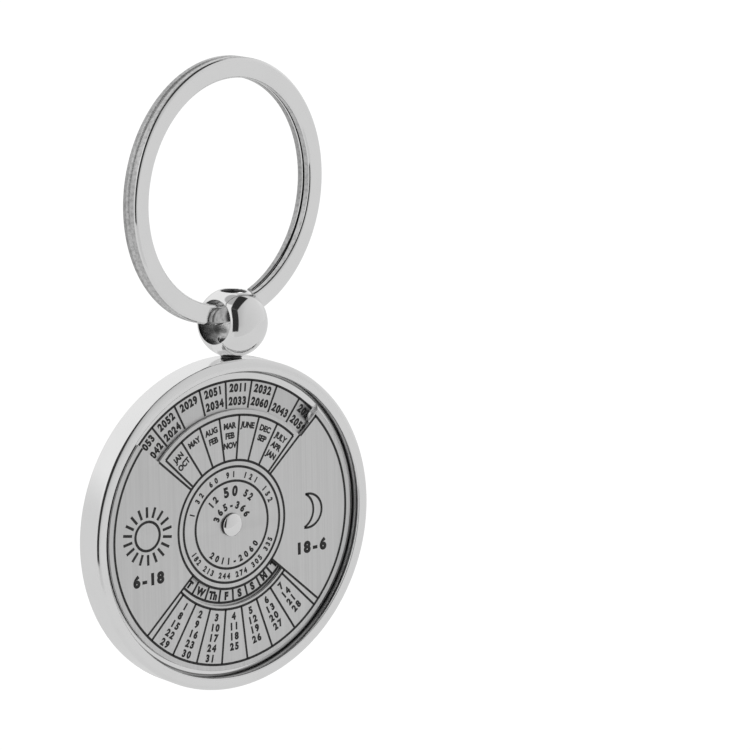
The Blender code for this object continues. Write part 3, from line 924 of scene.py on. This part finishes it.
# %% Turn the rivet
RIVET_RADIUS = 0.8 * MM
RIVET_HEAD_HEIGHT = 0.6 * MM
RIVET_FOOT_EASE = 0.04 * MM
RIVET_BENDS = [(24, 2.49 * MM), (38, 1.3 * MM), (90, 0.12 * MM)]
rivet_head = (rivet_high.x - rivet_low.x) / 2
rivet_top = dial_centre.y - rivet_low.y
rivet_end = dial_centre.y - rivet_high.y
rivet_foot = rivet_top - RIVET_HEAD_HEIGHT
crown = rolled_edge(RIVET_BENDS)
spread = rivet_head / crown[-1].x
rivet_profile = [(run * spread, rivet_top - drop) for run, drop in crown]
rivet_profile += [(rivet_head, rivet_foot + RIVET_FOOT_EASE), (rivet_head - RIVET_FOOT_EASE, rivet_foot)]
rivet_profile += [(RIVET_RADIUS, rivet_foot), (RIVET_RADIUS, rivet_end), (0, rivet_end)]
rivet_mesh = turned(rivet_profile, 96)
rivet = add_piece('centre_rivet_domed', rivet_mesh, nickel, dial_place(), 'case', 'centre_rivet')
# Painted shade: the rivet's foot gets the dark steel.
finish_part(rivet, dark_steel_and_shade, lambda face: face.center.z < rivet_top - crown[-2].y)
print('rivet head radius and height, mm:', round(rivet_head / MM, 2), round(rivet_top / MM, 2))

# %% [markdown]
# ## Characters as faces
# The numbers on the dial are text turned into faces. The built-in lettering is too wide for a small dial, so
# it is drawn narrower and a little bolder. How tall it stands is measured once, on a capital.

# %% Characters
def capital_height():
    """How tall a capital of the built-in lettering is at size one."""
    curve = bpy.data.curves.new('capital', 'FONT')
    curve.body = 'H'
    mesh = evaluated_mesh(curve)
    return max(vertex.co.y for vertex in mesh.vertices)


def letter_faces(words, bold):
    """Flat faces of some words, and the height of its capitals."""
    curve = bpy.data.curves.new('words', 'FONT')
    curve.body = words
    curve.align_x = 'CENTER'
    curve.offset = bold
    curve.resolution_u = 4
    mesh = evaluated_mesh(curve)
    bpy.data.curves.remove(curve)
    return mesh, CAPITAL_HEIGHT + 2 * bold


CAPITAL_HEIGHT = capital_height()
print('capital height of the built-in lettering:', round(CAPITAL_HEIGHT, 3))

# %% [markdown]
# ## Drawing with ink
# Every mark is a thin slab of enamel a hundredth of a millimetre proud of the metal. Lines are flat strips,
# numbers are faces, and one Solidify at the end gives the whole group its thickness. Image textures would be
# quicker, but real edges stay crisp from any distance.

# %% Ink helpers
INK_RISE = 0.012 * MM
INK_THICKNESS = 0.03 * MM
LINE = 0.30 * MM
FINE_LINE = 0.27 * MM


class Ink:
    """Flat marks gathered in one mesh."""

    def __init__(self):
        self.cage = bmesh.new()

    def strip(self, left, right):
        """Faces between two rows of points."""
        pairs = [[self.cage.verts.new((*point, 0)) for point in ends] for ends in zip(left, right)]
        for (a, b), (c, d) in zip(pairs, pairs[1:]):
            self.cage.faces.new((a, b, d, c))

    def arc(self, radius, start, end, width=LINE, centre=(0, 0)):
        """A curved line of the given width."""
        middle = Vector(centre)
        step = min(radians(1.5), 0.3 * MM / radius)
        outer = [middle + point for point in arc(radius + width / 2, start, end, step)]
        inner = [middle + point for point in arc(radius - width / 2, start, end, step)]
        self.strip(outer, inner)

    def line(self, start, end, width=FINE_LINE):
        """A straight line."""
        start, end = Vector(start), Vector(end)
        side = (end - start).normalized().orthogonal() * width / 2
        self.strip([start + side, end + side], [start - side, end - side])

    def spoke(self, angle, inner, outer, width=FINE_LINE):
        """A line that points at the centre."""
        self.line(around(inner, angle), around(outer, angle), width)

    def digits(self, words, height, place, turn, pitch, narrow, bold):
        """Numbers whose characters stand at an even pitch, centred on a place and turned clockwise."""
        onward = Vector((cos(turn), -sin(turn)))
        for index, letter in enumerate(words):
            offset = onward * pitch * (index - (len(words) - 1) / 2)
            self.text(letter, height, Vector(place) + offset, turn, narrow, bold)

    def text(self, words, height, place, turn, narrow, bold):
        """Words centred on a place, turned clockwise."""
        mesh, rise = letter_faces(words, bold)
        size = Matrix.Diagonal((height / rise * narrow, height / rise, 1, 1))
        middle = Matrix.Translation((0, -rise / 2, 0))
        spin = Matrix.Translation((*place, 0)) @ Matrix.Rotation(-turn, 4, 'Z')
        mesh.transform(spin @ size @ middle)
        self.cage.from_mesh(mesh)
        bpy.data.meshes.remove(mesh)

    def curved(self, words, height, radius, start, end, narrow, bold):
        """Single characters along an arc. Where the angle falls, they stand below the centre, feet out."""
        for index, letter in enumerate(words):
            angle = start + (end - start) * index / (len(words) - 1)
            if letter != ' ':
                turn = angle + pi if start > end else angle
                self.text(letter, height, around(radius, angle), turn, narrow, bold)

    def finish(self, name, depth, turn, body, slot):
        """Make the marks one piece, a little proud of the surface."""
        bmesh.ops.recalc_face_normals(self.cage, faces=self.cage.faces)
        for face in self.cage.faces:
            if face.normal.z < 0:
                face.normal_flip()
        solid = {'thickness': INK_THICKNESS, 'offset': -1.0}
        slab = evaluated_mesh(mesh_of(self.cage, name), [('SOLIDIFY', solid)])
        piece = add_piece(name, slab, ink_black, dial_place(depth + INK_RISE, turn), body)
        print(name, 'faces:', len(slab.polygons))

# %% [markdown]
# ## The years on the disc
# The disc is divided into 28 cells, seven to a right angle. The years stand in them, up to two to a cell, and
# the weekdays stand in cells of the same angle. Turning the face by one cell moves everything by one day, and
# each year stands where its first of March falls on the right weekday. Marks go all round the disc, so the
# notch and the slot show them wherever the face is turned.

# %% Ink the year disc
WEEK = 7
WEEKS_ROUND = 4
CELL = radians(90 / WEEK)
YEAR_SHIFT = radians(2.0)
YEAR_ARC = 17.45 * MM
YEAR_INNER = 14.1 * MM
YEAR_ROWS = (16.6 * MM, 15.0 * MM)
YEAR_HEIGHT = 1.05 * MM
YEAR_PITCH = 0.67 * MM
YEAR_SHAPE = (0.84, 0.06)
YEAR_CELLS = [(2053, 2042), (2052, 2024), (2029, None), (2051, 2034), (2011, 2033), (2032, 2060),
              (None, 2043), (2036, 2059), (2013, 2041), (2012, 2040), (2017, 2045), (2016, 2044),
              (2021, 2049), (2015, 2037), (2014, 2031), (2019, 2047), (2018, 2046), (2023, 2056),
              (2022, 2050), (2027, 2055), (2020, 2048), (2025, None), (2030, 2058), (2035, 2057),
              (2028, None), (2039, None), (2038, None), (2026, 2054)]
YEAR_CENTRE_CELL = 4
DAY_ARC = 9.6 * MM
DAY_INNER = 7.6 * MM
DAY_ROW = 8.72 * MM
DAY_HEIGHT = 1.05 * MM
DAY_SHAPE = (0.86, 0.07)
DAY_LETTERS = ('M', 'T', 'W', 'Th', 'F', 'S', 'S')
DAY_CENTRE_CELL = 4
DAY_SHIFT = radians(0.7)

disc_ink = Ink()
disc_ink.arc(YEAR_ARC, 0, 2 * pi)
for index, rows in enumerate(YEAR_CELLS):
    middle = YEAR_SHIFT + (index - YEAR_CENTRE_CELL) * CELL
    disc_ink.spoke(middle - CELL / 2, YEAR_INNER, YEAR_ARC)
    for radius, year in zip(YEAR_ROWS, rows):
        if year:
            disc_ink.digits(str(year), YEAR_HEIGHT, around(radius, middle), middle, YEAR_PITCH, *YEAR_SHAPE)

disc_ink.arc(DAY_ARC, 0, 2 * pi)
for index, day in enumerate(DAY_LETTERS * WEEKS_ROUND):
    middle = pi + DAY_SHIFT - (index - DAY_CENTRE_CELL) * CELL
    disc_ink.spoke(middle - CELL / 2, DAY_INNER, DAY_ARC)
    disc_ink.text(day, DAY_HEIGHT, around(DAY_ROW, middle), middle + pi, *DAY_SHAPE)
disc_ink.finish('year_disc_marks', disc_front, 0, 'case', 'year_disc')

# %% [markdown]
# ## The lines on the face
# Circles frame the centre, and two fans of seven columns hold the months above and the dates below. Each line
# is given by a radius and by angles and not by its ends, so every spoke points at the centre and all columns
# are equally wide. The lines ride on the face, so they turn with it.

# %% Ink the lines
OUTER_CIRCLE = 17.1 * MM
CIRCLES = (7.83 * MM, 7.07 * MM, 5.34 * MM)
FAN = radians(45)
FAN_BORDER = radians(48)
BORDER_GAP = radians(0.7)
MONTH_ARC = 13.3 * MM
DATE_ARC = 10.35 * MM

line_ink = Ink()
line_ink.arc(OUTER_CIRCLE, NOTCH_HALF, 2 * pi - NOTCH_HALF)
for radius in CIRCLES:
    line_ink.arc(radius, 0, 2 * pi)
line_ink.arc(MONTH_ARC, -FAN, FAN)
for column in range(WEEK + 1):
    angle = -FAN + column * CELL
    line_ink.spoke(angle, CIRCLES[0], MONTH_ARC)
    line_ink.spoke(pi + angle, DATE_ARC, OUTER_CIRCLE)
line_ink.arc(DATE_ARC, pi - FAN_BORDER, pi + FAN_BORDER)
for side in (-1, 1):
    line_ink.spoke(side * FAN_BORDER, CIRCLES[0], NOTCH_RADIUS)
    line_ink.spoke(pi + side * FAN_BORDER, CIRCLES[0], OUTER_CIRCLE)
line_ink.spoke(FAN_BORDER + BORDER_GAP, NOTCH_RADIUS, OUTER_CIRCLE)
line_ink.finish('face_lines', 0, PLATE_TURN, 'dial', 'face_plate')

# %% [markdown]
# ## The months and the dates
# Each column of the fans is turned to its own angle, so its numbers lean with it. January and February stand
# in two columns each, because a leap year needs its own. The dates fill their fan row by row, so one loop can
# place them all, and their digits stand at an even pitch.

# %% Ink the months and the dates
MIDDLE_COLUMN = 3
MONTH_ROWS = (12.15 * MM, 10.95 * MM, 9.75 * MM)
MONTH_HEIGHT = 0.78 * MM
MONTH_SHAPE = (0.88, 0.055)
MONTHS = [('JAN', 'OCT'), ('MAY',), ('AUG', 'FEB'), ('MAR', 'FEB', 'NOV'), ('JUNE',), ('DEC', 'SEP'),
          ('JULY', 'APR', 'JAN')]
LAST_DATE = 31
DATE_FIRST_ROW = 11.25 * MM
DATE_ROW_STEP = 1.25 * MM
DATE_HEIGHT = 0.95 * MM
DATE_PITCH = 0.74 * MM
DATE_SHAPE = (0.90, 0.06)

number_ink = Ink()
for column, names in enumerate(MONTHS):
    angle = (column - MIDDLE_COLUMN) * CELL
    for radius, name in zip(MONTH_ROWS, names):
        number_ink.text(name, MONTH_HEIGHT, around(radius, angle), angle, *MONTH_SHAPE)
for date in range(1, LAST_DATE + 1):
    row, column = divmod(date - 1, WEEK)
    angle = pi - (column - MIDDLE_COLUMN) * CELL
    place = around(DATE_FIRST_ROW + row * DATE_ROW_STEP, angle)
    number_ink.digits(str(date), DATE_HEIGHT, place, angle + pi, DATE_PITCH, *DATE_SHAPE)
print('month columns:', len(MONTHS), 'dates:', LAST_DATE)

# %% [markdown]
# ## The numbers round the centre
# Small plain numbers fill the rings: outside, the day of the year on which each month starts, and inside, the
# range of years and a few counts. Their characters are set one by one along each arc, because numbers laid
# straight would cross the ring. The two ranges of hours beside the fans are laid straight.

# %% Ink the numbers
NUMBER_BOLD = 0.06
CENTRE_NUMBERS = [('1 32 60 91 121 152', 0.75, 6.2, -70, 70, 0.85),
                  ('182 213 244 274 305 335', 0.75, 6.2, 244, 116, 0.85),
                  ('2011-2060', 0.85, 4.4, 222, 130, 0.90),
                  ('12', 0.95, 4.2, -46, -34, 0.85),
                  ('50', 1.30, 4.2, -10, 8, 0.90),
                  ('52', 0.95, 4.2, 32, 44, 0.85),
                  ('365-366', 0.95, 2.5, -66, 66, 0.90)]
SIDE_NUMBERS = [('6-18', (-12.3, -4.5), 1.15), ('18-6', (11.8, -4.6), 1.20)]
SIDE_HEIGHT = 1.5 * MM
SIDE_SHAPE = (1.0, 0.065)

for words, height, radius, start, end, narrow in CENTRE_NUMBERS:
    number_ink.curved(words, height * MM, radius * MM, radians(start), radians(end), narrow, NUMBER_BOLD)
for words, place, pitch in SIDE_NUMBERS:
    number_ink.digits(words, SIDE_HEIGHT, Vector(place) * MM, 0, pitch * MM, *SIDE_SHAPE)
number_ink.finish('face_numbers', 0, PLATE_TURN, 'dial', 'face_plate')

# %% [markdown]
# ## The sun and the crescent
# Both figures are traditional ones drawn in outline: a circle with eighteen short rays, and two arcs that
# meet at their tips. The same strips that draw the dial's lines draw them, so the enamel's width is even.

# %% Ink the figures
SUN_CENTRE = Vector((-12.31, 0.68)) * MM
SUN_RADIUS = 1.75 * MM
SUN_LINE = 0.33 * MM
RAY_INNER = 2.25 * MM
RAY_OUTER = 3.55 * MM
RAY_WIDTH = 0.34 * MM
RAYS = 18
CRESCENT_CENTRE = Vector((11.37, -0.23)) * MM
CRESCENT_RADIUS = 2.1 * MM
CRESCENT_ENDS = (radians(-8.3), radians(195.2))
HOLLOW_CENTRE = Vector((9.905, -0.107)) * MM
HOLLOW_RADIUS = 2.32 * MM
HOLLOW_ENDS = (radians(30.5), radians(156.4))
CRESCENT_LINE = 0.29 * MM

figure_ink = Ink()
figure_ink.arc(SUN_RADIUS, 0, 2 * pi, SUN_LINE, SUN_CENTRE)
for ray in range(RAYS):
    angle = 2 * pi * ray / RAYS
    figure_ink.line(SUN_CENTRE + around(RAY_INNER, angle), SUN_CENTRE + around(RAY_OUTER, angle), RAY_WIDTH)
figure_ink.arc(CRESCENT_RADIUS, *CRESCENT_ENDS, CRESCENT_LINE, CRESCENT_CENTRE)
figure_ink.arc(HOLLOW_RADIUS, *HOLLOW_ENDS, CRESCENT_LINE, HOLLOW_CENTRE)
figure_ink.finish('sun_and_crescent', 0, PLATE_TURN, 'dial', 'face_plate')

# %% [markdown]
# ## The floor
# The keyring hangs a little above a pale floor, a plain sheet that starts just in front of it and runs far
# behind it. The floor is white to the camera, so the background stays plain, and darker where the keyring
# shades it. Masks of the light path do that, so no lamp has to be brighter for it.

# %% Lay the floor
CAMERA_AZIMUTH = radians(-36.93)
CAMERA_ELEVATION = radians(12.264)
FLOOR_DROP = 30 * MM
STAGE_FRONT = 90 * MM
FLOOR_SIZE = 3.0
FLOOR_TONE = 0.55
FLOOR_GLOW = 0.55
FLOOR_REFLECTED = 0.20


def ray_kinds(finish):
    """Light path masks of the camera and of mirrored or transmitted rays."""
    path = finish.tree.nodes.new('ShaderNodeLightPath')
    camera = Sum(finish, path.outputs['Is Camera Ray']) + Sum(finish, path.outputs['Is Transmission Ray'])
    return camera, Sum(finish, path.outputs['Is Glossy Ray'])


def white_floor():
    """Pale floor: white to the camera and to reflections, darker where the keyring shades it."""
    material = bpy.data.materials.new('pale_floor')
    material.use_nodes = True
    finish = Finish(material.node_tree)
    material.node_tree.nodes.remove(material.node_tree.nodes['Principled BSDF'])
    camera, glossy = ray_kinds(finish)
    matt = finish.node('ShaderNodeBsdfDiffuse', {}, {'Color': grey(FLOOR_TONE)})
    glow = finish.node('ShaderNodeEmission', {},
                       {'Color': grey(1.0), 'Strength': camera * FLOOR_GLOW + glossy * FLOOR_REFLECTED})
    both = finish.node('ShaderNodeAddShader', {}, [matt, glow])
    finish.fill(material.node_tree.nodes['Material Output'].inputs['Surface'], both)
    return material


cage = bmesh.new()
bmesh.ops.create_grid(cage, x_segments=1, y_segments=1, size=FLOOR_SIZE)
floor = placed('floor', mesh_of(cage, 'floor'))
away = Vector((-sin(CAMERA_AZIMUTH), cos(CAMERA_AZIMUTH), 0))
floor.location = away * (FLOOR_SIZE - STAGE_FRONT) + Vector((0, 0, case_low.z - FLOOR_DROP))
floor.rotation_euler.z = CAMERA_AZIMUTH
floor.data.materials.append(white_floor())
print('floor height, mm:', round(floor.location.z / MM, 1))

# %% [markdown]
# ## The studio
# The background that the camera sees is plain white, and polished metal mirrors the same white. A studio is
# not white all round, though. A grey card stands on the right, the room is a little darker overhead, and the
# opening that the camera looks through is dark: its reflections draw the thin dark lines on every rounded
# edge. All of this is written into the world as patterns of direction that only mirrored rays see. The dark
# opening and the gap above it are patches, each between four directions.

# %% Light the studio
SOFT_EDGE = 0.03
ROOM_LIGHT = 0.9
LEFT_LEVEL = 0.87
CARD_LEVEL = 0.68
CARD_SLOPE = 0.08
CARD_SHADE = 0.14
HORIZON_FADE = 0.17
CARD_SIDE = (0.12, 0.10)
CARD_END = (-0.78, 0.35)
SHADE_SIDE = (0.45, 0.50)
SHADE_FOOT = (-0.10, 0.30)
HORIZON = (0.15, 0.30)
OPENING = ((-0.01, 0.93, -0.36), (0.33, 0.88, -0.34), (0.24, 0.62, 0.75), (-0.10, 0.56, 0.82))
GAP = ((-0.10, 0.56, 0.82), (0.24, 0.62, 0.75), (0.50, -0.42, 0.76), (0.21, -0.33, 0.92))
ZENITH = 0.93
ZENITH_LEVEL = 0.45
DARK_LEVEL = 0.03


def edge(finish, value, way, place, soft=SOFT_EDGE):
    """A soft step: 1 on the side that `way` points to, 0 on the other."""
    ends = {3: 0.0, 4: 1.0} if way > 0 else {3: 1.0, 4: 0.0}
    return finish.node('ShaderNodeMapRange', {'interpolation_type': 'SMOOTHSTEP'},
                       {0: value, 1: place - soft / 2, 2: place + soft / 2, **ends})


def light_the_world():
    """White room, greyer on its right side, with the dark opening that only reflections see."""
    world = bpy.data.worlds.new('studio')
    bpy.context.scene.world = world
    world.use_nodes = True
    finish = Finish(world.node_tree)
    camera, glossy = ray_kinds(finish)
    direction = finish.node('ShaderNodeTexCoord', output='Generated')

    def along(right_share, ahead_share, up_share):
        """How far the direction points along an axis given in the camera's right, ahead and up."""
        axis = rightward * right_share + ahead * ahead_share + Vector((0, 0, up_share))
        return finish.node('ShaderNodeVectorMath', {'operation': 'DOT_PRODUCT'}, [direction, axis], 1)

    def patch(corners):
        """A soft-edged patch between four directions."""
        mask = 1.0
        for one, two in zip(corners, corners[1:] + corners[:1]):
            side = Vector(two).cross(Vector(one)).normalized()
            mask = mask * edge(finish, along(*side), 1, 0)
        return mask

    rightward = Vector((cos(CAMERA_AZIMUTH), sin(CAMERA_AZIMUTH), 0))
    ahead = Vector((sin(CAMERA_AZIMUTH), -cos(CAMERA_AZIMUTH), 0))
    right, front, up = along(1, 0, 0), along(0, 1, 0), along(0, 0, 1)

    card = edge(finish, right, 1, *CARD_SIDE) * edge(finish, front, 1, *CARD_END)
    left = LEFT_LEVEL - edge(finish, up, -1, *HORIZON) * HORIZON_FADE
    room = left - card * (left - CARD_LEVEL) - card * front * CARD_SLOPE
    room = room - card * edge(finish, right, -1, *SHADE_SIDE) * edge(finish, up, 1, *SHADE_FOOT) * CARD_SHADE
    zenith = edge(finish, up, 1, ZENITH)
    room = room - zenith * (room - ZENITH_LEVEL)
    opening, gap = patch(OPENING), patch(GAP)
    dark = opening + gap - opening * gap
    room = room - dark * (room - DARK_LEVEL)
    level = camera + glossy * room + (1 - camera - glossy) * ROOM_LIGHT
    background = world.node_tree.nodes['Background']
    finish.fill(background.inputs['Strength'], level)
    background.inputs['Color'].default_value = grey(1.0)
    return len(world.node_tree.nodes)


print('nodes in the studio:', light_the_world())

# %% [markdown]
# ## The camera
# The photograph was taken with a long lens from the left and a little above. The camera stands at that angle
# and distance from the dial, its lens is long, and it is turned until the dial's centre falls on the pixel
# where the photograph has it.

# %% Place the camera
DIAL_PIXEL = (231.8, 524.6)
IMAGE_MIDDLE = 375.0
FOCAL_PIXELS = 5000.0
CAMERA_DISTANCE = 596.56 * MM
CAMERA_LEAN = radians(-2.036)
SENSOR = 36.0
IMAGE_SIZE = 750.0

camera_data = bpy.data.cameras.new('camera')
camera_data.sensor_width = SENSOR
camera_data.lens = FOCAL_PIXELS * SENSOR / IMAGE_SIZE
camera_data.clip_start = 0.01
camera = placed('camera', camera_data)
toward_camera = Vector((sin(CAMERA_AZIMUTH) * cos(CAMERA_ELEVATION),
                        -cos(CAMERA_AZIMUTH) * cos(CAMERA_ELEVATION), sin(CAMERA_ELEVATION)))
camera.location = dial_centre + toward_camera * CAMERA_DISTANCE
dial_ray = Vector((DIAL_PIXEL[0] - IMAGE_MIDDLE, IMAGE_MIDDLE - DIAL_PIXEL[1], -FOCAL_PIXELS))
centring = dial_ray.rotation_difference(Vector((0, 0, -1)))
level = (-toward_camera).to_track_quat('-Z', 'Y')
camera.rotation_mode = 'QUATERNION'
camera.rotation_quaternion = Quaternion(-toward_camera, CAMERA_LEAN) @ level @ centring
bpy.context.scene.camera = camera
bpy.context.scene.view_settings.view_transform = 'Standard'
print('camera lens, mm:', round(camera_data.lens, 1))
